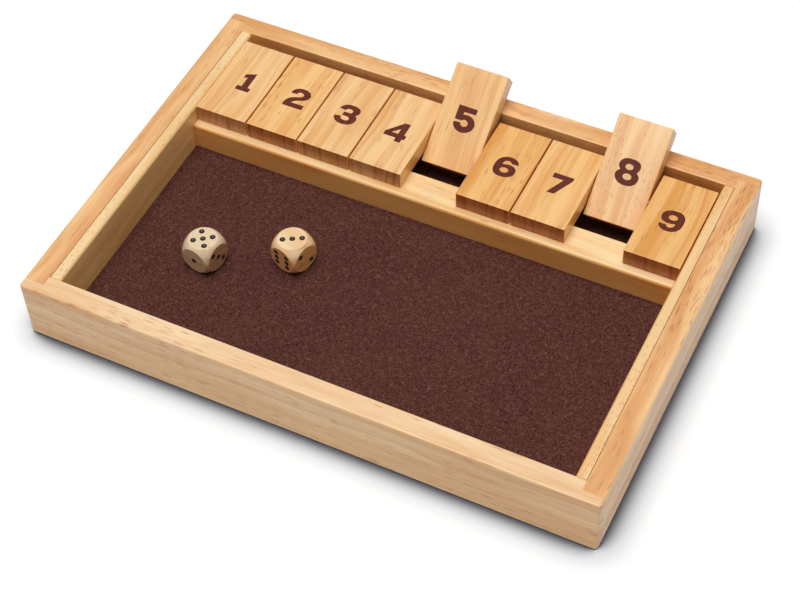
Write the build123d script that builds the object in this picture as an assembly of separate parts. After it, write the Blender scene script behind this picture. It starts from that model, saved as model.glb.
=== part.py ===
from build123d import *
import os
from math import asin, atan2, degrees, hypot

# Shut the box game: an open wooden tray with nine numbered tiles on a rod and two dice.
# Millimetres. Origin: centre of the tray's underside, on the table. X runs along the row
# of tiles from tile 1 to tile 9, Y from the player to the back rail, Z up.

# ---- rails ----
tray_length = 280.0        # X, outside
tray_depth = 197.5         # Y, outside
rail_thickness = 10.3
rim_above_tiles = 0.45     # rails standing above the flat tiles
lap_tongue = 5.0           # front and back rail left standing past the end of a side rail
corner_radius = 1.8        # outer upright corners
rim_radius = 1.0           # outer edge of the rim
inner_rim_radius = 0.6     # inner edge of the rim
foot_radius = 0.8          # outer edge of the underside

# ---- floor ----
panel_thickness = 4.0
panel_rise = 4.0           # underside of the panel above the table
groove_depth = 4.0         # groove in the rails that holds the panel
groove_play = 0.15         # gap at the panel's edges inside the groove
felt_thickness = 1.0

# ---- inner strips and ledge ----
strip_thickness = 5.2
strip_drop = 0.35          # top of the strips below the rim
strip_radius = 1.8         # upper inner edge of the strips
seam_gap = 0.2             # open seam between a strip and the rail behind it
glue_gap = 0.1             # ends of strips, ledge and felt to what they meet
ledge_lip = 4.35           # ledge left bare in front of the tiles
ledge_radius = 1.6         # upper front edge
ledge_back_radius = 0.4    # upper back edge, at the slot

# ---- tiles and rod ----
tile_count = 9
tile_length = 50.4
tile_thickness = 9.1
tile_gap = 0.8             # between neighbours
tile_radius = 0.4          # all edges
hole_from_back = 14.6      # rod axis to the tile's back end
hole_above_base = 3.5      # rod axis above the tile's underside
rod_diameter = 3.0
rod_clearance = 0.08       # round the rod, in the tiles
rod_chamfer = 0.3
rod_end_play = 0.3         # rod's ends to the side rails
# leaning tiles, and how far each is pushed along the rod
leaning_tiles = {5: -0.6, 8: -0.4}
lean_gap = 1.0             # leaning tile to the rounded edge of the back rail
# room round the circle that a tile's back end sweeps
swing_above_felt = 1.8
swing_to_ledge = 8.35
swing_to_back_rail = 4.45

# ---- dice ----
die_size = 16.0
die_swell = 2.6            # ball that rounds the cube's corners, past its faces
pip_diameter = 2.8
pip_depth = 0.6
pip_pitch = 3.2
# centres from the play area's front left corner
die_1_right = 42.1
die_1_back = 53.5
die_2_right = 79.7
die_2_back = 70.5
# turns about Z in degrees
die_turns = {1: -8.6, 2: -15.6}
# pips on the right, left, back, front, top and bottom faces
die_faces = {1: (3, 4, 6, 1, 5, 2), 2: (2, 5, 1, 6, 3, 4)}

# ---- heights that follow ----
swing_radius = hypot(hole_from_back, tile_thickness - hole_above_base)
panel_top = panel_rise + panel_thickness
felt_top = panel_top + felt_thickness
rod_z = felt_top + swing_above_felt + swing_radius
ledge_top = rod_z - hole_above_base
tray_height = ledge_top + tile_thickness + rim_above_tiles
strip_top = tray_height - strip_drop

# ---- lengths and places that follow ----
inner_length = tray_length - 2 * rail_thickness
inner_depth = tray_depth - 2 * rail_thickness
bay_length = inner_length - 2 * strip_thickness
tile_pitch = bay_length / tile_count
tile_width = tile_pitch - tile_gap
rod_y = inner_depth / 2 - swing_to_back_rail - swing_radius
tile_front = rod_y + hole_from_back - tile_length
ledge_front = tile_front - ledge_lip
ledge_back = rod_y - swing_radius - swing_to_ledge

# Angle of a leaning tile above level: its upper face, turned down, clears the rounded
# inner edge of the back rail by lean_gap.
edge_run = inner_depth / 2 + inner_rim_radius - rod_y
edge_rise = tray_height - inner_rim_radius - rod_z
face_offset = tile_thickness - hole_above_base + inner_rim_radius + lean_gap
lean_angle = degrees(asin(face_offset / hypot(edge_run, edge_rise)) + atan2(edge_rise, edge_run))

die_places = {1: (die_1_right, die_1_back), 2: (die_2_right, die_2_back)}

on_base = (Align.CENTER, Align.CENTER, Align.MIN)


def tray_ring():
    """The four rails before they are parted, with the floor panel's groove."""
    ring = Box(tray_length, tray_depth, tray_height, align=on_base)
    ring = fillet(ring.edges().filter_by(Axis.Z), corner_radius)
    ring -= Box(inner_length, inner_depth, tray_height, align=on_base)
    ring = fillet(ring.faces().sort_by(Axis.Z)[-1].outer_wire().edges(), rim_radius)
    ring = fillet(ring.faces().sort_by(Axis.Z)[-1].inner_wires()[0].edges(), inner_rim_radius)
    ring = fillet(ring.faces().sort_by(Axis.Z)[0].outer_wire().edges(), foot_radius)
    groove_length = inner_length + 2 * groove_depth
    groove_width = inner_depth + 2 * groove_depth
    return ring - Pos(0, 0, panel_rise) * Box(groove_length, groove_width, panel_thickness, align=on_base)


def end_rail_space(side):
    """Space that the front (side -1) or back (side 1) rail takes, stepped at both laps."""
    tongue = Box(tray_length, lap_tongue, tray_height, align=on_base)
    body = Box(inner_length, rail_thickness, tray_height, align=on_base)
    return (Pos(0, side * (tray_depth - lap_tongue) / 2, 0) * tongue
            + Pos(0, side * (tray_depth - rail_thickness) / 2, 0) * body)


def side_rail_space(side):
    """Space that the left (side -1) or right (side 1) rail takes between the laps."""
    space = Box(rail_thickness, tray_depth - 2 * lap_tongue, tray_height, align=on_base)
    return Pos(side * (tray_length - rail_thickness) / 2, 0, 0) * space


def base_panel():
    """Floor panel, held in the rails' groove."""
    reach = 2 * (groove_depth - groove_play)
    panel = Box(inner_length + reach, inner_depth + reach, panel_thickness, align=on_base)
    return Pos(0, 0, panel_rise) * panel


def felt_lining():
    """Felt between the strips, from the front rail to the back rail."""
    felt = Box(bay_length - 2 * glue_gap, inner_depth - 2 * glue_gap, felt_thickness, align=on_base)
    return Pos(0, 0, panel_top) * felt


def inner_strip(side):
    """Strip along the left (side -1) or right (side 1) rail, bored for the rod."""
    width = strip_thickness - seam_gap
    strip = Box(width, inner_depth - 2 * glue_gap, strip_top - panel_top, align=on_base)
    upper_edges = strip.edges().filter_by(Axis.Y).group_by(Axis.Z)[-1].sort_by(Axis.X)
    strip = fillet(upper_edges[0 if side > 0 else -1], strip_radius)
    strip = Pos(side * (inner_length - strip_thickness - seam_gap) / 2, 0, panel_top) * strip
    return strip - rod_bore(inner_length, rod_diameter / 2)


def tile_ledge():
    """Bar across the tray that the tiles' front ends lie on."""
    ledge_width = ledge_back - ledge_front
    ledge = Box(bay_length - 2 * glue_gap, ledge_width, ledge_top - felt_top, align=on_base)
    ledge = fillet(ledge.edges().filter_by(Axis.X).group_by(Axis.Z)[-1].sort_by(Axis.Y)[0], ledge_radius)
    upper_back = ledge.edges().filter_by(Axis.X).group_by(Axis.Z)[-1].sort_by(Axis.Y)[-1]
    ledge = fillet(upper_back, ledge_back_radius)
    return Pos(0, (ledge_front + ledge_back) / 2, felt_top) * ledge


def rod_bore(length, radius):
    """Cylinder on the rod's axis."""
    return Pos(0, rod_y, rod_z) * Rot(0, 90, 0) * Cylinder(radius, length)


def pivot_rod():
    """Steel rod through the strips and all the tiles."""
    rod = rod_bore(inner_length - 2 * rod_end_play, rod_diameter / 2)
    return chamfer(rod.edges().filter_by(GeomType.CIRCLE), rod_chamfer)


def tile(number):
    """One tile: flat on the ledge, or turned over the rod to lean on the back rail."""
    block = Box(tile_width, tile_length, tile_thickness, align=on_base)
    block = fillet(block.edges(), tile_radius)
    block = Pos(0, tile_front + tile_length / 2, ledge_top) * block
    block -= rod_bore(tile_pitch, rod_diameter / 2 + rod_clearance)
    if number in leaning_tiles:
        block = block.rotate(Axis((0, rod_y, rod_z), (1, 0, 0)), lean_angle - 180)
        block = Pos(leaning_tiles[number], 0, 0) * block
    return Pos((number - (tile_count + 1) / 2) * tile_pitch, 0, 0) * block


def pip_spots(count):
    """Places of a face's pips, in pip pitches from its middle."""
    return {
        1: [(0, 0)],
        2: [(-1, 1), (1, -1)],
        3: [(-1, 1), (0, 0), (1, -1)],
        4: [(-1, -1), (-1, 1), (1, -1), (1, 1)],
        5: [(-1, -1), (-1, 1), (0, 0), (1, -1), (1, 1)],
        6: [(column, row) for column in (-1, 1) for row in (-1, 0, 1)],
    }[count]


def die(number):
    """Cube rounded by a ball, with drilled pips, lying on the felt."""
    half = die_size / 2
    cube = Box(die_size, die_size, die_size) & Sphere(half + die_swell)
    # a ball of this radius, sunk by pip_depth, leaves a hollow of pip_diameter
    cutter = (pip_diameter ** 2 / 4 + pip_depth ** 2) / (2 * pip_depth)
    sides = [Plane((half, 0, 0), x_dir=(0, 1, 0), z_dir=(1, 0, 0)),
             Plane((-half, 0, 0), x_dir=(0, -1, 0), z_dir=(-1, 0, 0)),
             Plane((0, half, 0), x_dir=(-1, 0, 0), z_dir=(0, 1, 0)),
             Plane((0, -half, 0), x_dir=(1, 0, 0), z_dir=(0, -1, 0)),
             Plane((0, 0, half), x_dir=(0, 1, 0), z_dir=(0, 0, 1)),
             Plane((0, 0, -half), x_dir=(1, 0, 0), z_dir=(0, 0, -1))]
    for side, count in zip(sides, die_faces[number]):
        for across, along in pip_spots(count):
            spot = Pos(across * pip_pitch, along * pip_pitch, cutter - pip_depth)
            cube -= side * spot * Sphere(cutter)
    right, back = die_places[number]
    place = Pos(right - bay_length / 2, back - inner_depth / 2, felt_top + half)
    return place * Rot(0, 0, die_turns[number]) * cube


def build():
    ring = tray_ring()
    parts = {
        "front_rail": ring & end_rail_space(-1),
        "back_rail": ring & end_rail_space(1),
        "left_rail": ring & side_rail_space(-1),
        "right_rail": ring & side_rail_space(1),
        "base_panel": base_panel(),
        "felt_lining": felt_lining(),
        "left_strip": inner_strip(-1),
        "right_strip": inner_strip(1),
        "tile_ledge": tile_ledge(),
        "pivot_rod": pivot_rod(),
    }
    for number in range(1, tile_count + 1):
        parts[f"tile_{number}"] = tile(number)
    for number in die_places:
        parts[f"die_{number}"] = die(number)
    return parts


os.makedirs("parts", exist_ok=True)
for name, shape in build().items():
    export_step(shape, f"parts/{name}.step")
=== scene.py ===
import bpy
import math
import random
from mathutils import Matrix, Vector


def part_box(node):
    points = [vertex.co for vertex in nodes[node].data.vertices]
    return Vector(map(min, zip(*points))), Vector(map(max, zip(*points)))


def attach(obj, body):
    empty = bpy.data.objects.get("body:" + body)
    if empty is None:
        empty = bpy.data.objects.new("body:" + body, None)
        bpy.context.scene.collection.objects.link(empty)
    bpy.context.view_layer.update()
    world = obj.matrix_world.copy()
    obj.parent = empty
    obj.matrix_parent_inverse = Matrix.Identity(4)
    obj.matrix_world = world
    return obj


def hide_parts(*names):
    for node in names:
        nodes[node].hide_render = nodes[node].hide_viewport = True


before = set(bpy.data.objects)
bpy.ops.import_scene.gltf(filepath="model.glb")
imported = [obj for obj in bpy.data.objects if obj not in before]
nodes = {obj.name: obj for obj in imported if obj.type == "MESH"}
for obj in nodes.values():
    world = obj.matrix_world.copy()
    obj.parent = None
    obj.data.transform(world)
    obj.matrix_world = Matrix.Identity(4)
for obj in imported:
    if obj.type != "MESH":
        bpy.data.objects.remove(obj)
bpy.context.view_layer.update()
millimetre = 0.001
print("frame loaded:", len(nodes), "pieces of the game")


# the room: camera, lamp, surroundings and table

cameraView = {
    "place": (0.2651, -0.4907, 0.6662),
    "right": (0.8976, 0.4395, -0.0327),      # the picture leans a little, so the level is written out
    "ahead": (-0.3007, 0.5565, -0.7745),
    "lens": 83.65,
    "sensor": 36.0,
    "near": 0.01,
    "far": 50.0,
}
keyLamp = {"place": (-0.10, -0.06, 2.2), "aim": (0.0, 0.0, 0.02), "width": 1.5, "light": 0.88}
surroundings = {"light": 0.22, "colour": (1.0, 1.0, 1.0, 1.0), "horizon": 1.0,
                "fade": (0.30, 0.55)}     # heights between which white turns dim
tableTop = {
    "size": 8.0,
    "colour": (0.94, 0.94, 0.94, 1.0),
    "bounce": (0.82, 0.82, 0.84, 1.0),     # what the tray gets back from it
    "below": 0.00005,                      # gap under the tray
    "reach": 0.020,                        # how far from the tray its soft shade goes
    "samples": 32,
    "lift": 0.14,                          # glow up to white for the camera, less in the shade
    # tone of the shade against how open the spot is, from 0.5 beside the tray to 1
    "shade": [(0.5, (0.05, 0.05, 0.08)), (0.65, (0.60, 0.65, 0.70)), (0.75, (0.80, 0.85, 0.90)),
              (1.0, (1.0, 1.0, 1.0))],
}


def addCamera(view):
    bpy.ops.object.camera_add(location=view["place"])
    camera = bpy.context.object
    camera.name = "picture_camera"
    ahead = Vector(view["ahead"]).normalized()
    right = Vector(view["right"])
    right = (right - ahead * right.dot(ahead)).normalized()
    up = right.cross(ahead)
    turn = Matrix((right, up, -ahead)).transposed()
    camera.rotation_euler = turn.to_euler()
    camera.data.lens = view["lens"]
    camera.data.sensor_width = view["sensor"]
    camera.data.clip_start = view["near"]
    camera.data.clip_end = view["far"]
    bpy.context.scene.camera = camera


def addKeyLamp(lamp):
    place, aim = Vector(lamp["place"]), Vector(lamp["aim"])
    reach = place - aim
    bpy.ops.object.light_add(type="AREA", location=place)
    light = bpy.context.object
    light.name = "soft_box"
    light.rotation_euler = (-reach).to_track_quat("-Z", "Y").to_euler()
    light.data.shape = "SQUARE"
    light.data.size = lamp["width"]
    slant = reach.normalized().z
    light.data.energy = lamp["light"] * math.pi ** 2 * reach.length ** 2 / slant


def addSurroundings(values):
    world = bpy.data.worlds.new("studio")
    bpy.context.scene.world = world
    world.use_nodes = True
    tree = world.node_tree
    back = tree.nodes["Background"]
    back.inputs["Color"].default_value = values["colour"]
    back.inputs["Strength"].default_value = values["light"]
    white = tree.nodes.new("ShaderNodeBackground")      # white towards the horizon, dim overhead
    where = tree.nodes.new("ShaderNodeTexCoord")
    split = tree.nodes.new("ShaderNodeSeparateXYZ")
    fade = tree.nodes.new("ShaderNodeMapRange")
    for socket, value in zip(fade.inputs[1:5], (*values["fade"], values["horizon"], values["light"])):
        socket.default_value = value
    tree.links.new(where.outputs["Generated"], split.inputs[0])
    tree.links.new(split.outputs["Z"], fade.inputs[0])
    tree.links.new(fade.outputs[0], white.inputs["Strength"])
    path = tree.nodes.new("ShaderNodeLightPath")
    seen = tree.nodes.new("ShaderNodeMath")
    seen.operation = "MAXIMUM"
    tree.links.new(path.outputs["Is Camera Ray"], seen.inputs[0])
    tree.links.new(path.outputs["Is Glossy Ray"], seen.inputs[1])
    mix = tree.nodes.new("ShaderNodeMixShader")
    tree.links.new(seen.outputs[0], mix.inputs[0])
    tree.links.new(back.outputs[0], mix.inputs[1])
    tree.links.new(white.outputs[0], mix.inputs[2])
    tree.links.new(mix.outputs[0], tree.nodes["World Output"].inputs["Surface"])


def addTableTop(values):
    bpy.ops.mesh.primitive_plane_add(size=values["size"], location=(0, 0, -values["below"]))
    table = bpy.context.object
    table.name = "table_top"
    bpy.ops.object.transform_apply(location=True, rotation=True, scale=True)
    material = bpy.data.materials.new("white table")
    material.use_nodes = True
    tree = material.node_tree
    tree.nodes.clear()
    plain = tree.nodes.new("ShaderNodeBsdfDiffuse")
    plain.inputs["Color"].default_value = values["bounce"]
    shaded = tree.nodes.new("ShaderNodeBsdfDiffuse")
    nook = tree.nodes.new("ShaderNodeAmbientOcclusion")
    nook.inputs["Distance"].default_value = values["reach"]
    nook.samples = values["samples"]
    ramp = tree.nodes.new("ShaderNodeValToRGB")
    steps = ramp.color_ramp.elements
    while len(steps) < len(values["shade"]):
        steps.new(0.5)
    for step, (place, tone) in zip(steps, values["shade"]):
        step.position = place
        step.color = (*tone, 1.0)
    tone = tree.nodes.new("ShaderNodeMix")
    tone.data_type = "RGBA"
    tone.blend_type = "MULTIPLY"
    tone.inputs[0].default_value = 1.0
    tone.inputs[7].default_value = values["colour"]
    tree.links.new(nook.outputs["AO"], ramp.inputs[0])
    tree.links.new(ramp.outputs[0], tone.inputs[6])
    tree.links.new(tone.outputs[2], shaded.inputs["Color"])
    lift = tree.nodes.new("ShaderNodeEmission")
    lift.inputs["Strength"].default_value = values["lift"]
    tree.links.new(ramp.outputs[0], lift.inputs["Color"])
    both = tree.nodes.new("ShaderNodeAddShader")
    path = tree.nodes.new("ShaderNodeLightPath")
    mix = tree.nodes.new("ShaderNodeMixShader")
    out = tree.nodes.new("ShaderNodeOutputMaterial")
    tree.links.new(shaded.outputs[0], both.inputs[0])
    tree.links.new(lift.outputs[0], both.inputs[1])
    tree.links.new(path.outputs["Is Camera Ray"], mix.inputs[0])
    tree.links.new(plain.outputs[0], mix.inputs[1])
    tree.links.new(both.outputs[0], mix.inputs[2])
    tree.links.new(mix.outputs[0], out.inputs["Surface"])
    table.data.materials.append(material)


bpy.ops.object.select_all(action="DESELECT")
bpy.context.scene.view_settings.view_transform = "Standard"
addCamera(cameraView)
addKeyLamp(keyLamp)
addSurroundings(surroundings)
addTableTop(tableTop)
print("camera, lamp and table are set")


# small helpers for node trees

def shade(red, green, blue):
    # a colour as read on a screen, 0 to 255, made linear
    return tuple(((part / 255 + 0.055) / 1.055) ** 2.4 for part in (red, green, blue)) + (1.0,)


def putNode(tree, kind, **settings):
    node = tree.nodes.new(kind)
    count = len(tree.nodes)
    node.location = (count // 4 * 190, -(count % 4) * 210)
    for name, value in settings.items():
        setattr(node, name, value)
    return node


def feed(tree, socket, value):
    if isinstance(value, bpy.types.NodeSocket):
        tree.links.new(value, socket)
    else:
        socket.default_value = value


def sums(tree, operation, first, second=0.0, clamp=False):
    node = putNode(tree, "ShaderNodeMath", operation=operation, use_clamp=clamp)
    feed(tree, node.inputs[0], first)
    feed(tree, node.inputs[1], second)
    return node.outputs[0]


def stretched(tree, parts, x, y, z, shift=0.0):
    node = putNode(tree, "ShaderNodeCombineXYZ")
    for place, (part, by) in enumerate(zip(parts, (x, y, z))):
        feed(tree, node.inputs[place], sums(tree, "MULTIPLY", part, by))
    if not shift:
        return node.outputs[0]
    moved = putNode(tree, "ShaderNodeVectorMath", operation="ADD")
    tree.links.new(node.outputs[0], moved.inputs[0])
    moved.inputs[1].default_value = (shift, shift * 0.7, -shift * 1.3)
    return moved.outputs[0]


def noise(tree, vector, detail=2.0, roughness=0.5, scale=1.0):
    node = putNode(tree, "ShaderNodeTexNoise")
    feed(tree, node.inputs["Vector"], vector)
    node.inputs["Scale"].default_value = scale
    node.inputs["Detail"].default_value = detail
    node.inputs["Roughness"].default_value = roughness
    return node.outputs["Fac"]


def rings(tree, radius, pitch, detail):
    node = putNode(tree, "ShaderNodeTexNoise", noise_dimensions="1D")
    tree.links.new(sums(tree, "MULTIPLY", radius, pitch), node.inputs["W"])
    node.inputs["Scale"].default_value = 1.0
    node.inputs["Detail"].default_value = detail
    return node.outputs["Fac"]


def spread(tree, value, low, high, least=0.0, most=1.0):
    node = putNode(tree, "ShaderNodeMapRange", interpolation_type="SMOOTHSTEP")
    for socket, number in zip(node.inputs[:5], (value, low, high, least, most)):
        feed(tree, socket, number)
    return node.outputs[0]


def blendColours(tree, amount, first, second, way="MIX"):
    node = putNode(tree, "ShaderNodeMix", data_type="RGBA", blend_type=way)
    feed(tree, node.inputs[0], amount)
    feed(tree, node.inputs[6], first)
    feed(tree, node.inputs[7], second)
    return node.outputs[2]


def tinted(tree, amount, colour, tint):
    return blendColours(tree, amount, colour, blendColours(tree, 1.0, colour, tint, "MULTIPLY"))


def parted(tree, vector):
    node = putNode(tree, "ShaderNodeSeparateXYZ")
    tree.links.new(vector, node.inputs[0])
    return node.outputs


def inMillimetres(tree, spot, turn=(0.0, 0.0, 0.0), pith=(0.0, 0.0, 0.0)):
    node = putNode(tree, "ShaderNodeMapping", vector_type="POINT")
    node.inputs["Location"].default_value = pith
    node.inputs["Rotation"].default_value = turn
    node.inputs["Scale"].default_value = (1 / millimetre,) * 3
    tree.links.new(spot, node.inputs["Vector"])
    return node.outputs[0]


def relief(tree, height, strength, distance):
    node = putNode(tree, "ShaderNodeBump")
    node.inputs["Strength"].default_value = strength
    node.inputs["Distance"].default_value = distance
    tree.links.new(height, node.inputs["Height"])
    return node.outputs["Normal"]


def newMaterial(name):
    material = bpy.data.materials.new(name)
    material.use_nodes = True
    tree = material.node_tree
    return material, tree, tree.nodes["Principled BSDF"].inputs, putNode(tree, "ShaderNodeTexCoord").outputs


def newGroup(name, sockets, results):
    group = bpy.data.node_groups.new(name, "ShaderNodeTree")
    for label, value in sockets.items():
        kind = "Float" if isinstance(value, float) else "Color" if len(value) == 4 else "Vector"
        socket = group.interface.new_socket(label, in_out="INPUT", socket_type="NodeSocket" + kind)
        if kind != "Vector":
            socket.default_value = value
    for label, kind in results.items():
        group.interface.new_socket(label, in_out="OUTPUT", socket_type=kind)
    return group, putNode(group, "NodeGroupInput").outputs, putNode(group, "NodeGroupOutput").inputs


# sawn and varnished wood, one group for every wooden piece

woodLook = {
    "Pale": shade(246, 206, 154),
    "Deep": shade(232, 180, 116),
    "Streak": shade(222, 146, 70),
    "Pore": shade(186, 102, 40),
    # painted light and shade: the side tint makes sideways faces lighter, darker, warmer or cooler for how
    # light falls on them; the end tint is end grain colour with painted shade
    "Side Light And Shade Tint": (1.0, 1.0, 1.0, 1.0),
    "End Grain And Shade Tint": shade(226, 200, 178),
    "End Bands": 0.5,     # strength of the dark bands on end grain
    "Figure": 0.7,        # strength of the broad growth bands
    "Ring Pitch": 0.13,   # broad bands for each millimetre
    "Clouds": 0.6,
    "Fibre": 0.40,
    "Streaks": 0.60,      # strength of the narrow warm lines
    "Line Pitch": 0.30,   # warm lines for each millimetre
    "Hairs": 0.15,        # strength of the long thin lines
    "Pores": 0.30,
    "Pore Length": 5.0,
    "Pore Middle": 0.0,   # place along the grain where pores are thick
    "Pore Reach": 5000.0,  # how far from there they go
    "Wander": 10.0,       # how far the grain strays, in millimetres
}

# how fine each pattern is along, beside and through the board, for each millimetre
grain = {
    "stray": (0.016, 0.03, 0.03),
    "fibre": (0.05, 1.5, 1.5),
    "clouds": (0.014, 0.085, 0.085),
    "fading": (0.018, 0.10, 0.10),
    "hairs": (0.028, 0.85, 0.85),
    "dashes": (0.65, 1.7, 1.7),
    "crowd": (0.02, 0.13, 0.13),
}
lateBand = (0.55, 0.40, 0.32, 1.0)      # tint of the dark bands on end grain
varnish = {"roughness": 0.38, "overFibre": 0.10, "overPore": 0.2}


def makeWoodGroup():
    sockets = {"Place": (0, 0, 0), "Facing": (0, 0, 0), **woodLook}
    results = {"Color": "NodeSocketColor", "Roughness": "NodeSocketFloat", "Height": "NodeSocketFloat"}
    tree, given, out = newGroup("sawn wood", sockets, results)
    parts = parted(tree, given["Place"])
    # growth rings round a pith that lies along X
    across = sums(tree, "ADD", sums(tree, "POWER", parts[1], 2.0), sums(tree, "POWER", parts[2], 2.0))
    radius = sums(tree, "SQRT", across)
    stray = sums(tree, "SUBTRACT", noise(tree, stretched(tree, parts, *grain["stray"]), 1.5), 0.5)
    ring = sums(tree, "ADD", radius, sums(tree, "MULTIPLY", stray, given["Wander"]))
    bands = spread(tree, rings(tree, ring, given["Ring Pitch"], 1.5), 0.36, 0.64)
    lines = spread(tree, rings(tree, ring, given["Line Pitch"], 2.0), 0.50, 0.70)
    fibre = spread(tree, noise(tree, stretched(tree, parts, *grain["fibre"]), 3.0, 0.6), 0.3, 0.7)
    clouds = spread(tree, noise(tree, stretched(tree, parts, *grain["clouds"], 11.0), 2.0), 0.36, 0.66)
    depth = 0.5
    for share, amount in ((bands, "Figure"), (clouds, "Clouds"), (fibre, "Fibre")):
        swing = sums(tree, "MULTIPLY", sums(tree, "SUBTRACT", share, 0.5), given[amount])
        depth = sums(tree, "ADD", depth, swing)
    depth = sums(tree, "MAXIMUM", sums(tree, "MINIMUM", depth, 1.0), 0.0)
    colour = blendColours(tree, depth, given["Pale"], given["Deep"])
    # which faces are end grain, and which look sideways; they carry the end grain colour and the painted
    # light and shade
    facing = parted(tree, given["Facing"])
    ends = spread(tree, sums(tree, "ABSOLUTE", facing[0]), 0.55, 0.9)
    sides = spread(tree, sums(tree, "ABSOLUTE", facing[1]), 0.35, 0.9)
    # narrow warm lines that come and go along the board, and show most on end grain
    fading = noise(tree, stretched(tree, parts, *grain["fading"], 37.0), 2.0)
    fading = spread(tree, fading, 0.34, 0.66, 0.15, 1.0)
    warm = sums(tree, "MULTIPLY", sums(tree, "MULTIPLY", lines, given["Streaks"]), fading)
    stronger = sums(tree, "ADD", sums(tree, "MULTIPLY", ends, 1.2), 1.0)
    warm = sums(tree, "MULTIPLY", warm, stronger, clamp=True)
    colour = blendColours(tree, warm, colour, given["Streak"])
    # long thin lines
    thin = noise(tree, stretched(tree, parts, *grain["hairs"], 51.0), 2.0, 0.55)
    hairs = sums(tree, "MULTIPLY", spread(tree, thin, 0.57, 0.70), fading)
    hairs = sums(tree, "MULTIPLY", hairs, given["Hairs"])
    colour = blendColours(tree, hairs, colour, given["Pore"])
    # open pores: short dashes along the grain, thick in some places and absent in others
    long = sums(tree, "DIVIDE", parts[0], given["Pore Length"])
    cells = putNode(tree, "ShaderNodeTexVoronoi")
    tree.links.new(stretched(tree, (long, parts[1], parts[2]), *grain["dashes"], 5.0), cells.inputs["Vector"])
    cells.inputs["Scale"].default_value = 1.0
    dash = spread(tree, cells.outputs["Distance"], 0.42, 0.16)
    chance = parted(tree, cells.outputs["Color"])
    crowd = noise(tree, stretched(tree, parts, *grain["crowd"], 23.0), 1.5)
    crowd = spread(tree, crowd, 0.42, 0.64, 0.12, 1.8)
    away = sums(tree, "ABSOLUTE", sums(tree, "SUBTRACT", parts[0], given["Pore Middle"]))
    near = spread(tree, sums(tree, "DIVIDE", away, given["Pore Reach"]), 1.0, 0.3, 0.05, 1.0)
    share = sums(tree, "MULTIPLY", sums(tree, "MULTIPLY", crowd, near), given["Pores"])
    there = sums(tree, "LESS_THAN", chance[0], share)
    tone = sums(tree, "ADD", sums(tree, "MULTIPLY", chance[1], 0.55), 0.40)
    pores = sums(tree, "MULTIPLY", sums(tree, "MULTIPLY", dash, there), tone)
    colour = blendColours(tree, pores, colour, given["Pore"])
    # painted light and shade on sideways faces, and painted shade with the end grain colour on end faces
    colour = tinted(tree, sides, colour, given["Side Light And Shade Tint"])
    colour = tinted(tree, ends, colour, given["End Grain And Shade Tint"])
    late = sums(tree, "MULTIPLY", sums(tree, "MULTIPLY", lines, ends), given["End Bands"])
    tree.links.new(tinted(tree, late, colour, lateBand), out["Color"])
    rough = sums(tree, "ADD", sums(tree, "MULTIPLY", fibre, varnish["overFibre"]), varnish["roughness"])
    rough = sums(tree, "ADD", rough, sums(tree, "MULTIPLY", pores, varnish["overPore"]))
    tree.links.new(rough, out["Roughness"])
    high = sums(tree, "SUBTRACT", sums(tree, "MULTIPLY", fibre, 0.25), sums(tree, "MULTIPLY", pores, 0.5))
    tree.links.new(high, out["Height"])
    return tree


woodGroup = makeWoodGroup()
grainRelief = {"strength": 0.12, "distance": 0.0003}
# painted shade in narrow seams: a darker, warmer tint, full and none at these shares of open sky
seamShade = {"reach": 0.0012, "samples": 6, "full": 0.24, "none": 0.62, "tint": (0.90, 0.80, 0.40, 1.0)}


def woodMaterial(name, turn, pith, look, coat=0.7, coatRoughness=0.28):
    material, tree, shader, where = newMaterial(name)
    facing = putNode(tree, "ShaderNodeMapping", vector_type="VECTOR")
    facing.inputs["Rotation"].default_value = turn
    tree.links.new(where["Normal"], facing.inputs["Vector"])
    wood = putNode(tree, "ShaderNodeGroup", node_tree=woodGroup)
    tree.links.new(inMillimetres(tree, where["Object"], turn, pith), wood.inputs["Place"])
    tree.links.new(facing.outputs[0], wood.inputs["Facing"])
    for socket, value in look.items():
        wood.inputs[socket].default_value = value
    # painted shade: seams and gaps between parts darkened in the base colour by ambient occlusion
    crevice = putNode(tree, "ShaderNodeAmbientOcclusion", samples=seamShade["samples"])
    crevice.inputs["Distance"].default_value = seamShade["reach"]
    clear = spread(tree, crevice.outputs["AO"], seamShade["full"], seamShade["none"])
    dim = blendColours(tree, 1.0, wood.outputs["Color"], seamShade["tint"], "MULTIPLY")
    tree.links.new(blendColours(tree, clear, dim, wood.outputs["Color"]), shader["Base Color"])
    tree.links.new(wood.outputs["Roughness"], shader["Roughness"])
    tree.links.new(relief(tree, wood.outputs["Height"], **grainRelief), shader["Normal"])
    shader["Coat Weight"].default_value = coat
    shader["Coat Roughness"].default_value = coatRoughness
    return material


def dress(piece, material):
    piece.data.materials.clear()
    piece.data.materials.append(material)
    for face in piece.data.polygons:
        face.material_index = 0


# the tray: rails, strips, ledge and floor panel

alongX = (0.0, 0.0, 0.0)
alongY = (0.0, 0.0, -math.pi / 2)

# pale and deep colour of each kind of board
boardTones = {
    "cream": (shade(255, 225, 170), shade(245, 195, 130)),
    "blond": (shade(255, 220, 175), shade(235, 180, 120)),
    "amber": (shade(255, 205, 145), shade(230, 165, 100)),
    "honey": (shade(255, 210, 150), shade(240, 180, 110)),
    "straw": (shade(255, 205, 135), shade(240, 175, 100)),
    "gold": (shade(250, 195, 120), shade(230, 160, 75)),
    "ply": (shade(215, 175, 130), shade(185, 140, 95)),
}


def board(tone):
    pale, deep = boardTones[tone]
    return {"Pale": pale, "Deep": deep}


# side tints are painted light and shade: lighter on the back rail's inner face and the right rail's outer
# face, darker and warmer on the strips, the ledge's front and the front rail's face
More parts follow.
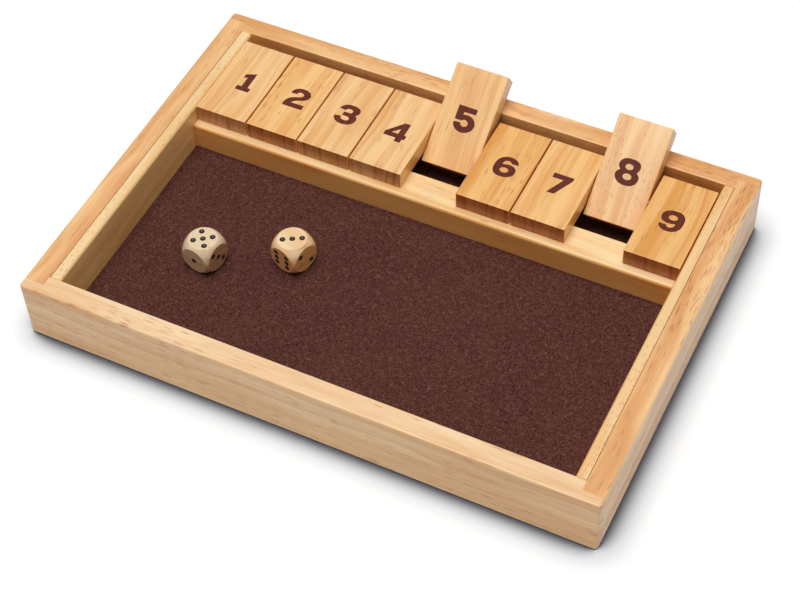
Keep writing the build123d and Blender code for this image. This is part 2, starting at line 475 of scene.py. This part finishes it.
trayWood = {
    "front_rail": dict(turn=alongX, pith=(40, 130, 55), look={
        **board("blond"), "Pores": 0.30, "Pore Length": 6.0, "Figure": 0.55, "Clouds": 0.45, "Streaks": 0.40,
        "Side Light And Shade Tint": (1.0, 0.95, 0.80, 1), "End Grain And Shade Tint": shade(250, 245, 240), "End Bands": 0.1}),
    "back_rail": dict(turn=alongX, pith=(310, -150, 40), look={
        **board("amber"), "Pores": 0.55, "Pore Length": 4.5, "Pore": shade(190, 100, 55), "Streaks": 0.45,
        "Side Light And Shade Tint": (1.3, 1.25, 1.0, 1), "End Grain And Shade Tint": shade(250, 245, 240), "End Bands": 0.2}),
    "left_rail": dict(turn=alongY, pith=(90, -170, 48), look={
        **board("amber"), "Pores": 0.12, "Pore Length": 6.0, "Streaks": 0.55}),
    "right_rail": dict(turn=alongY, pith=(560, 165, 44), look={
        **board("amber"), "Pores": 3.2, "Pore Length": 6.0, "Pore": shade(165, 75, 30),
        "Pore Middle": 634.0, "Pore Reach": 95.0, "Streaks": 0.40, "Side Light And Shade Tint": (1.1, 1.25, 1.4, 1)}),
    "left_strip": dict(turn=alongY, pith=(880, -160, 62), look={
        **board("cream"), "Pores": 0.45, "Pore Length": 2.0, "Pore": shade(205, 130, 70), "Streaks": 0.15,
        "Side Light And Shade Tint": (1.1, 1.0, 0.80, 1)}),
    "right_strip": dict(turn=alongY, pith=(20, 150, 71), look={
        **board("cream"), "Pores": 0.45, "Pore Length": 2.0, "Pore": shade(205, 130, 70), "Streaks": 0.15,
        "Side Light And Shade Tint": (1.1, 0.90, 0.70, 1)}),
    "tile_ledge": dict(turn=alongX, pith=(700, 90, 33), look={
        **board("cream"), "Pores": 0.06, "Pore Length": 6.0, "Streaks": 0.25,
        "Side Light And Shade Tint": (1.0, 0.70, 0.40, 1)}, coat=0.4, coatRoughness=0.42),
    "base_panel": dict(turn=alongX, pith=(210, 15, 260), look={
        **board("ply"), "Pores": 0.45, "Ring Pitch": 0.06, "Line Pitch": 0.14, "Wander": 30.0}),
}

for node, wood in trayWood.items():
    dress(nodes[node], woodMaterial("varnished " + node.replace("_", " "), **wood))
print("the tray's wood is dressed")


# the nine tiles

leanTurn = 145.5735       # degrees from flat to leaning on the back rail
leaningTiles = (5, 8)


def middle(node):
    low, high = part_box(node)
    return (low + high) / 2


flatLow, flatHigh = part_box("tile_1")
tilePitch = (middle("tile_9").x - middle("tile_1").x) / 8
rodPlace = middle("pivot_rod")

# painted shade: the tiles' sideways faces darker and warmer, and their end grain colour darkened with painted
# shade
tileSideShade = (1.05, 0.95, 0.75, 1)
endGrainAndShade = {"light": (0.70, 0.50, 0.40, 1), "brown": (0.65, 0.40, 0.15, 1), "dark": (0.60, 0.30, 0.10, 1)}

tileWood = {
    1: dict(pith=(30, 95, -18), look={
        **board("honey"), "Pores": 0.08, "End Grain And Shade Tint": endGrainAndShade["light"], "End Bands": 0.2}),
    2: dict(pith=(140, 110, -27), look={
        **board("straw"), "Pores": 0.30, "Streaks": 0.75, "Figure": 0.85,
        "End Grain And Shade Tint": endGrainAndShade["dark"]}),
    3: dict(pith=(260, 80, -25), look={
        **board("honey"), "Pores": 0.14, "End Grain And Shade Tint": endGrainAndShade["brown"]}),
    4: dict(pith=(390, 90, -16), look={
        **board("honey"), "Pores": 0.12, "Streaks": 0.7, "End Grain And Shade Tint": endGrainAndShade["light"],
        "End Bands": 0.25}),
    # tiles 5 and 8 lean, and their side tints paint light on their sides
    5: dict(pith=(470, 75, 36), look={
        **board("straw"), "Pores": 0.20, "Pore Length": 8.0, "Pore": shade(190, 105, 45), "Figure": 0.6,
        "Streaks": 0.4, "Hairs": 0.35, "Side Light And Shade Tint": (1.05, 1.1, 1.2, 1)}),
    6: dict(pith=(580, 105, -29), look={
        **board("gold"), "Pores": 0.24, "Streaks": 0.7, "Hairs": 0.3,
        "End Grain And Shade Tint": endGrainAndShade["dark"]}),
    7: dict(pith=(660, 85, -26), look={
        **board("straw"), "Pores": 0.08, "Line Pitch": 0.4, "End Grain And Shade Tint": endGrainAndShade["dark"]}),
    8: dict(pith=(770, 120, 44), look={
        **board("honey"), "Pores": 0.40, "Pore Length": 2.5, "Pore": shade(215, 135, 75), "Streaks": 0.40,
        "Side Light And Shade Tint": (1.05, 1.05, 1.0, 1)}),
    9: dict(pith=(850, 100, -28), look={
        **board("gold"), "Pores": 0.22, "Streaks": 0.7, "Streak": shade(225, 140, 65),
        "End Grain And Shade Tint": endGrainAndShade["dark"]}),
}


def tileTurn(number):
    return (math.radians(leanTurn), 0.0, -math.pi / 2) if number in leaningTiles else alongY


for number, wood in tileWood.items():
    along, beside, below = wood["pith"]
    pith = (along, beside + (number - 5) * tilePitch / millimetre, below)
    look = {"Side Light And Shade Tint": tileSideShade, **wood["look"]}
    dress(nodes[f"tile_{number}"], woodMaterial(f"tile {number} wood", tileTurn(number), pith, look))
print("nine tiles are dressed")


# printed numerals

numeralPrint = {
    "baseline": 18.46,    # from the tile's near end to the foot of a numeral, in millimetres
    "proud": 0.03,        # above the wood, and below it
    "sunk": 0.02,
    "smoothness": 8,
    "weld": 0.000002,
    "shine": 0.25,
    "ink": shade(96, 36, 22),
    "inkThin": shade(124, 58, 36),
}
# outline points, first placed on the photo: x, y in millimetres, then 0 for a corner
curved = 1
sixOutline = [
    [(6.1, 9.3, 0), (5.5, 11.0, 1), (3.9, 12.4, 1), (1.2, 13.0, 1), (-1.6, 12.4, 1), (-3.6, 10.8, 1),
     (-4.5, 8.6, 1), (-4.7, 5.8, 1), (-4.3, 3.0, 1), (-2.8, 0.8, 1), (0.9, 0.0, 1), (4.3, 0.8, 1),
     (6.1, 2.7, 1), (6.4, 4.6, 1), (5.8, 6.6, 1), (4.2, 7.8, 1), (1.6, 8.2, 1), (-1.3, 7.6, 0),
     (-1.0, 9.3, 1), (0.1, 10.3, 1), (1.5, 10.4, 1), (2.7, 9.3, 0)],
    [(3.0, 4.3, 1), (0.9, 5.9, 1), (-1.2, 4.3, 1), (0.9, 2.7, 1)],
]
numerals = {
    1: [[(-2.0, 10.9, 0), (3.2, 13.1, 0), (3.2, 2.7, 0), (4.9, 2.7, 0), (4.9, 0.0, 0), (-2.4, 0.0, 0),
         (-2.4, 2.7, 0), (-0.1, 2.7, 0), (-0.1, 9.1, 0), (-2.0, 8.4, 0)]],
    2: [[(-3.5, 8.9, 0), (-3.2, 10.6, 1), (-1.6, 12.4, 1), (1.5, 13.2, 1), (4.7, 12.5, 1), (6.5, 10.7, 1),
         (6.8, 9.0, 1), (6.0, 7.2, 1), (4.0, 5.8, 1), (1.2, 4.6, 1), (-0.6, 2.9, 0), (6.6, 2.9, 0),
         (6.6, 0.0, 0), (-4.0, 0.0, 0), (-4.0, 2.2, 1), (-3.1, 4.7, 1), (-1.0, 6.4, 1), (1.8, 7.5, 1),
         (3.1, 8.4, 1), (3.2, 9.6, 1), (1.4, 10.6, 1), (-0.1, 9.9, 1), (-0.4, 8.9, 0)]],
    3: [[(-4.7, 9.3, 0), (-3.9, 11.2, 1), (-2.0, 12.7, 1), (0.8, 13.1, 1), (3.8, 12.6, 1), (5.7, 11.0, 1),
         (5.8, 9.0, 1), (4.7, 7.2, 0), (6.0, 5.8, 1), (6.2, 3.8, 1), (5.1, 1.5, 1), (2.5, 0.2, 1),
         (-0.2, 0.0, 1), (-3.0, 0.9, 1), (-4.6, 2.6, 1), (-5.0, 4.2, 0), (-1.8, 4.7, 0), (-1.2, 3.3, 1),
         (0.6, 2.7, 1), (2.3, 3.1, 1), (2.7, 4.1, 1), (2.0, 5.1, 1), (0.6, 5.4, 1), (-1.6, 5.4, 0),
         (-1.6, 7.9, 0), (0.6, 7.9, 1), (2.1, 8.2, 1), (2.4, 9.2, 1), (1.8, 10.1, 1), (0.6, 10.4, 1),
         (-0.8, 10.0, 1), (-1.5, 9.0, 0)]],
    4: [[(1.2, 12.7, 0), (4.1, 12.7, 0), (4.1, 5.0, 0), (5.4, 5.0, 0), (5.4, 2.3, 0), (4.1, 2.3, 0),
         (4.1, 0.0, 0), (0.9, 0.0, 0), (0.9, 2.3, 0), (-5.7, 2.3, 0), (-5.7, 4.8, 0)],
        [(-2.4, 5.1, 0), (0.9, 8.4, 0), (0.9, 5.1, 0)]],
    5: [[(-4.9, 12.7, 0), (4.6, 12.6, 0), (4.6, 9.9, 0), (-1.4, 9.9, 0), (-1.4, 8.5, 0), (0.8, 8.8, 1),
         (3.7, 8.0, 1), (5.3, 6.1, 1), (5.7, 4.1, 1), (4.6, 1.8, 1), (2.0, 0.3, 1), (-0.8, 0.1, 1),
         (-3.5, 1.3, 1), (-4.8, 3.1, 1), (-5.0, 4.3, 0), (-1.7, 4.6, 0), (-1.1, 3.6, 1), (0.4, 3.0, 1),
         (1.8, 3.5, 1), (2.2, 4.6, 1), (1.5, 5.8, 1), (0.0, 6.3, 1), (-1.5, 5.6, 0), (-4.9, 5.6, 0)]],
    6: sixOutline,
    7: [[(-4.6, 12.6, 0), (5.4, 12.6, 0), (5.4, 10.7, 0), (0.1, 0.0, 0), (-3.6, 0.0, 0), (1.1, 9.6, 0),
         (-4.6, 9.6, 0)]],
    8: [[(-0.2, 12.9, 1), (2.7, 12.6, 1), (4.6, 11.2, 1), (4.9, 9.2, 1), (4.0, 7.1, 0), (5.4, 5.6, 1),
         (5.6, 3.8, 1), (4.3, 1.5, 1), (1.8, 0.3, 1), (-1.6, 0.3, 1), (-4.3, 1.5, 1), (-5.7, 3.6, 1),
         (-5.5, 5.5, 1), (-4.2, 6.9, 0), (-5.3, 8.4, 1), (-5.4, 10.0, 1), (-4.3, 11.8, 1), (-2.8, 12.6, 1)],
        [(1.6, 9.0, 1), (-0.3, 10.4, 1), (-2.2, 9.0, 1), (-0.3, 7.6, 1)],
        [(2.2, 4.3, 1), (0.1, 5.8, 1), (-2.0, 4.3, 1), (0.1, 2.8, 1)]],
    9: [[(1.0 - x, 13.0 - y, kind) for x, y, kind in contour] for contour in sixOutline],
}


def drawNumeral(name, contours):
    curve = bpy.data.curves.new(name, "CURVE")
    curve.dimensions = "2D"
    curve.fill_mode = "BOTH"
    curve.resolution_u = numeralPrint["smoothness"]
    for contour in contours:
        spline = curve.splines.new("BEZIER")
        spline.bezier_points.add(len(contour) - 1)
        spline.use_cyclic_u = True
        for point, (x, y, kind) in zip(spline.bezier_points, contour):
            point.co = (x * millimetre, y * millimetre, 0)
            handle = "AUTO" if kind == curved else "VECTOR"
            point.handle_left_type = point.handle_right_type = handle
    outline = bpy.data.objects.new(name, curve)
    bpy.context.scene.collection.objects.link(outline)
    bpy.context.view_layer.objects.active = outline
    outline.select_set(True)
    bpy.ops.object.convert(target="MESH")
    bpy.ops.object.mode_set(mode="EDIT")
    bpy.ops.mesh.select_all(action="SELECT")
    bpy.ops.mesh.remove_doubles(threshold=numeralPrint["weld"])
    thick = (numeralPrint["proud"] + numeralPrint["sunk"]) * millimetre
    bpy.ops.mesh.extrude_region_move(TRANSFORM_OT_translate={"value": (0, 0, thick)})
    bpy.ops.mesh.select_all(action="SELECT")
    bpy.ops.mesh.normals_make_consistent(inside=False)
    bpy.ops.object.mode_set(mode="OBJECT")
    return outline


def inkMaterial(name, turn):
    material, tree, shader, where = newMaterial(name)
    parts = parted(tree, inMillimetres(tree, where["Object"], turn))
    fibre = noise(tree, stretched(tree, parts, 0.10, 1.8, 1.8), 3.0, 0.6)
    worn = spread(tree, fibre, 0.45, 0.80)
    colour = blendColours(tree, worn, numeralPrint["ink"], numeralPrint["inkThin"])
    tree.links.new(colour, shader["Base Color"])
    tree.links.new(spread(tree, fibre, 0.3, 0.7, 0.52, 0.66), shader["Roughness"])
    shader["Specular IOR Level"].default_value = numeralPrint["shine"]
    return material


inks = {False: inkMaterial("flat tile ink", alongY), True: inkMaterial("leaning tile ink", tileTurn(5))}
leanStep = (Matrix.Translation(rodPlace) @ Matrix.Rotation(math.radians(-leanTurn), 4, "X")
            @ Matrix.Translation(-rodPlace))

baseline = numeralPrint["baseline"] * millimetre
sunk = numeralPrint["sunk"] * millimetre
for number, contours in numerals.items():
    centre = middle(f"tile_{number}").x
    for side in ("top", "under"):
        bpy.ops.object.select_all(action="DESELECT")
        mark = drawNumeral(f"tile_{number}_{side}_numeral", contours)
        if side == "top":
            steps = [Matrix.Translation((centre, flatLow.y + baseline, flatHigh.z - sunk))]
        else:
            steps = [Matrix.Rotation(math.pi, 4, "X"),
                     Matrix.Translation((centre, flatHigh.y - baseline, flatLow.z + sunk))]
        if number in leaningTiles:
            steps.append(leanStep)
        for step in steps:
            mark.data.transform(step)
        dress(mark, inks[number in leaningTiles])
        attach(mark, f"tile_{number}_body")
print("numerals are printed on both faces of the tiles")


# felt lining

feltCloth = {
    "cell": 1.4,            # size of a mesh cell, in millimetres
    "wave": 0.04,           # how far the nap rises and falls, in millimetres
    "dark": shade(52, 8, 4),
    "light": shade(107, 66, 56),
    "thread": shade(150, 110, 100),
    "fineness": 1.9,        # of the nap, for each millimetre
    "curl": 2.2,            # how far they bend, in millimetres
}


def addFelt(values):
    low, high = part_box("felt_lining")
    width, length, thick = high - low
    bpy.ops.object.select_all(action="DESELECT")
    bpy.ops.mesh.primitive_grid_add(
        x_subdivisions=int(width / millimetre / values["cell"]),
        y_subdivisions=int(length / millimetre / values["cell"]), size=1.0, location=(0, 0, 0))
    felt = bpy.context.object
    felt.name = "felt_sheet"
    bpy.ops.object.mode_set(mode="EDIT")
    bpy.ops.mesh.select_all(action="SELECT")
    bpy.ops.transform.resize(value=(width, length, 1.0))
    bpy.ops.transform.translate(value=((low.x + high.x) / 2, (low.y + high.y) / 2, high.z))
    bpy.ops.object.mode_set(mode="OBJECT")
    rand = random.Random(7)
    waves = [(rand.uniform(180, 900), rand.uniform(0, math.tau), rand.uniform(0, math.tau))
             for _ in range(14)]
    for point in felt.data.vertices:
        rise = sum(math.sin(pitch * (point.co.x * math.cos(way) + point.co.y * math.sin(way)) + start)
                   for pitch, way, start in waves) / len(waves)
        point.co.z -= values["wave"] * millimetre * (0.5 - 0.5 * max(-1.0, min(1.0, rise * 2)))
    wall = felt.modifiers.new("cloth thickness", "SOLIDIFY")
    wall.thickness = thick - values["wave"] * millimetre
    wall.offset = -1.0
    bpy.context.view_layer.objects.active = felt
    bpy.ops.object.modifier_apply(modifier=wall.name)
    felt.data.polygons.foreach_set("use_smooth", [True] * len(felt.data.polygons))
    bpy.ops.object.shade_smooth_by_angle(angle=math.radians(40))
    return felt, (width, length)


def feltMaterial(values):
    material, tree, shader, where = newMaterial("brown felt")
    spot = inMillimetres(tree, where["Object"])
    # short fibres lie every way: a warped noise gives the curly look
    bend = putNode(tree, "ShaderNodeTexNoise")
    tree.links.new(spot, bend.inputs["Vector"])
    bend.inputs["Scale"].default_value = 0.9
    bend.inputs["Detail"].default_value = 2.0
    bent = putNode(tree, "ShaderNodeVectorMath", operation="MULTIPLY_ADD")
    tree.links.new(bend.outputs["Color"], bent.inputs[0])
    bent.inputs[1].default_value = (values["curl"],) * 3
    tree.links.new(spot, bent.inputs[2])
    nap = noise(tree, bent.outputs[0], 3.0, 0.65, values["fineness"])
    patches = noise(tree, spot, 2.0, 0.5, 0.05)
    tone = sums(tree, "ADD", spread(tree, nap, 0.38, 0.63), sums(tree, "MULTIPLY", patches, 0.25))
    tone = sums(tree, "SUBTRACT", tone, 0.12, clamp=True)
    colour = blendColours(tree, tone, values["dark"], values["light"])
    # single pale threads: where a bent noise crosses its middle value
    wave = sums(tree, "ABSOLUTE", sums(tree, "SUBTRACT", noise(tree, bent.outputs[0], 1.0), 0.5))
    here = spread(tree, noise(tree, spot, 1.0, 0.5, 0.45), 0.50, 0.62, 0.0, 0.55)
    threads = sums(tree, "MULTIPLY", spread(tree, wave, 0.045, 0.0), here)
    tree.links.new(blendColours(tree, threads, colour, values["thread"]), shader["Base Color"])
    tree.links.new(spread(tree, nap, 0.2, 0.8, 0.86, 0.98), shader["Roughness"])
    tree.links.new(relief(tree, nap, 0.6, 0.0004), shader["Normal"])
    shader["Specular IOR Level"].default_value = 0.15
    shader["Sheen Weight"].default_value = 0.04
    shader["Sheen Roughness"].default_value = 0.6
    return material


felt, feltFlat = addFelt(feltCloth)
dress(felt, feltMaterial(feltCloth))
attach(felt, "tray")
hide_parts("felt_lining")
print("felt is laid")


# dice

diceLook = {
    "pipWidth": 2.8,
    "pipDepth": 0.6,
    "pipPitch": 3.2,
    "rim": 0.02,            # bare wood left round the top of a pip
    "paint": 0.05,          # thickness of the paint in a pip, all in millimetres
    "facets": 28,
    "black": (0.012, 0.006, 0.005, 1),
    "worn": (0.032, 0.018, 0.014, 1),
    "coat": 0.8,
    "coatRoughness": 0.08,
}
# faces: pips on the right, left, back, front, top and bottom
dice = {
    "die_1": dict(turn=-8.6, faces=(3, 4, 6, 1, 5, 2), pith=(25, 60, 42), look={
        "Pale": shade(240, 214, 178), "Deep": shade(226, 194, 150), "Pores": 0.05, "Hairs": 0.0,
        "Streaks": 0.1}),
    # die 2's side and end tints paint shade on its sideways faces, with its end grain colour
    "die_2": dict(turn=-15.6, faces=(2, 5, 1, 6, 3, 4), pith=(75, 38, 55), look={
        "Pale": shade(255, 236, 200), "Deep": shade(252, 218, 168), "Pores": 0.06, "Hairs": 0.0,
        "Streaks": 0.3, "Side Light And Shade Tint": (1.0, 0.69, 0.44, 1), "End Grain And Shade Tint": (1.0, 0.73, 0.40, 1)}),
}
pipPlaces = {
    1: [(0, 0)],
    2: [(-1, 1), (1, -1)],
    3: [(-1, 1), (0, 0), (1, -1)],
    4: [(-1, -1), (-1, 1), (1, -1), (1, 1)],
    5: [(-1, -1), (-1, 1), (0, 0), (1, -1), (1, 1)],
    6: [(-1, -1), (-1, 0), (-1, 1), (1, -1), (1, 0), (1, 1)],
}


def pipPaint(values):
    radius = ((values["pipWidth"] / 2) ** 2 + values["pipDepth"] ** 2) / (2 * values["pipDepth"])
    bpy.ops.object.select_all(action="DESELECT")
    bpy.ops.mesh.primitive_uv_sphere_add(
        segments=values["facets"], ring_count=values["facets"], radius=radius * millimetre,
        location=(0, 0, (radius - values["pipDepth"]) * millimetre))
    cap = bpy.context.object
    cap.name = "pip_paint"
    bpy.ops.object.transform_apply(location=True, rotation=True, scale=True)
    bpy.ops.object.mode_set(mode="EDIT")
    bpy.ops.mesh.select_all(action="SELECT")
    bpy.ops.mesh.bisect(plane_co=(0, 0, -values["rim"] * millimetre), plane_no=(0, 0, 1), clear_outer=True)
    bpy.ops.object.mode_set(mode="OBJECT")
    coat = cap.modifiers.new("paint", "SOLIDIFY")
    coat.thickness = values["paint"] * millimetre
    coat.offset = -1.0
    bpy.ops.object.modifier_apply(modifier=coat.name)
    bpy.ops.object.shade_smooth_by_angle(angle=math.radians(50))
    return cap


def faceFrames(reach):
    # right, left, back, front, top and bottom: the way out, and the way of the face's own X
    ways = [((1, 0, 0), (0, 1, 0)), ((-1, 0, 0), (0, -1, 0)), ((0, 1, 0), (-1, 0, 0)),
            ((0, -1, 0), (1, 0, 0)), ((0, 0, 1), (0, 1, 0)), ((0, 0, -1), (1, 0, 0))]
    for out, side in ways:
        out, side = Vector(out), Vector(side)
        turn = Matrix((side, out.cross(side), out)).transposed().to_4x4()
        yield Matrix.Translation(out * reach) @ turn


def paintMaterial(values):
    material, tree, shader, where = newMaterial("black pip paint")
    blot = noise(tree, where["Object"], 3.0, 0.6, 2600.0)
    tree.links.new(blendColours(tree, blot, values["black"], values["worn"]), shader["Base Color"])
    tree.links.new(spread(tree, blot, 0.3, 0.7, 0.26, 0.40), shader["Roughness"])
    return material


blackPaint = paintMaterial(diceLook)
master = pipPaint(diceLook)
pitch = diceLook["pipPitch"] * millimetre
for name, die in dice.items():
    low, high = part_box(name)
    place = Matrix.Translation(middle(name)) @ Matrix.Rotation(math.radians(die["turn"]), 4, "Z")
    dots = []
    for face, count in zip(faceFrames((high.z - low.z) / 2), die["faces"]):
        for across, along in pipPlaces[count]:
            dot = master.copy()
            dot.data = master.data.copy()
            bpy.context.scene.collection.objects.link(dot)
            dot.data.transform(place @ face @ Matrix.Translation((across * pitch, along * pitch, 0)))
            dots.append(dot)
    bpy.ops.object.select_all(action="DESELECT")
    for dot in dots:
        dot.select_set(True)
    bpy.context.view_layer.objects.active = dots[0]
    bpy.ops.object.join()
    paint = bpy.context.object
    paint.name = name + "_pips"
    dress(paint, blackPaint)
    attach(paint, name + "_body")
    turned = (0.0, 0.0, -math.radians(die["turn"]))
    dress(nodes[name], woodMaterial(name.replace("_", " ") + " wood", turned, die["pith"], die["look"],
                                    diceLook["coat"], diceLook["coatRoughness"]))
bpy.data.objects.remove(master)
print("dice are painted")


# steel rod

steelRod = {
    "dark": (0.50, 0.50, 0.51, 1),
    "light": (0.72, 0.72, 0.73, 1),
    "drawn": (60.0, 2500.0, 2500.0),      # fineness of the drawn lines, for each metre
    "roughness": (0.2, 0.34),
}


def steelMaterial(values):
    material, tree, shader, where = newMaterial("bright steel")
    drawn = noise(tree, stretched(tree, parted(tree, where["Object"]), *values["drawn"]), 3.0, 0.6)
    tree.links.new(blendColours(tree, drawn, values["dark"], values["light"]), shader["Base Color"])
    tree.links.new(spread(tree, drawn, 0.3, 0.7, *values["roughness"]), shader["Roughness"])
    shader["Metallic"].default_value = 1.0
    return material


dress(nodes["pivot_rod"], steelMaterial(steelRod))
print("the rod is dressed")
